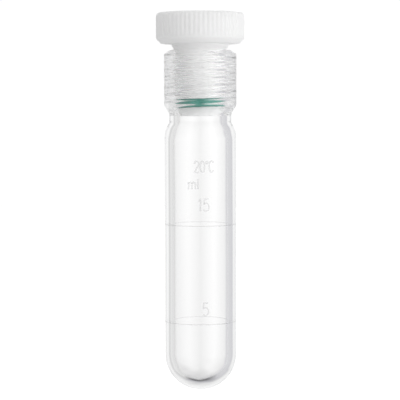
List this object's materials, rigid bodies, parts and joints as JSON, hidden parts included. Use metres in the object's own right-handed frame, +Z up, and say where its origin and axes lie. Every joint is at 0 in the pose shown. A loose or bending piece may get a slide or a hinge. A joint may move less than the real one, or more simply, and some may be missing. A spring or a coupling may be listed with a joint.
{
  "type": "screw-plug test tube",
  "caption": "Heavy-wall round-bottomed glass test tube with volume lines and an internally threaded neck, closed by a knurled screw plug that seals on a rubber ring.",
  "frame": {"origin": "lowest point of the glass, on the tube's axis", "axes": "+Z up along the tube's axis, towards the plug's head; -Y towards the viewer, the side that carries the numerals; +X to the viewer's right"},
  "size_m": [0.0308, 0.0308, 0.1321],
  "materials": {
    "clear_glass": "clear, glossy borosilicate glass",
    "white_ptfe": "machined white PTFE, waxy matte",
    "green_rubber": "smooth teal-green rubber"
  },
  "bodies": {
    "tube": {"glass_tube": "clear_glass"},
    "seal": {"o_ring": "green_rubber"},
    "plug": {"screw_plug": "white_ptfe"}
  },
  "joints": [
    {"name": "plug_lift", "type": "slide", "parent": "tube", "child": "seal", "axis": [0, 0, 1], "range_m": [0, 0.0229]},
    {"name": "plug_turn", "type": "hinge", "parent": "seal", "child": "plug", "pos_m": [0, 0, 0.121], "axis": [0, 0, 1], "range_deg": [0, 3240]}
  ],
  "couplings": [
    {"joint": "plug_lift", "follows": "plug_turn", "m_per_rad": 0.00040425}
  ]
}
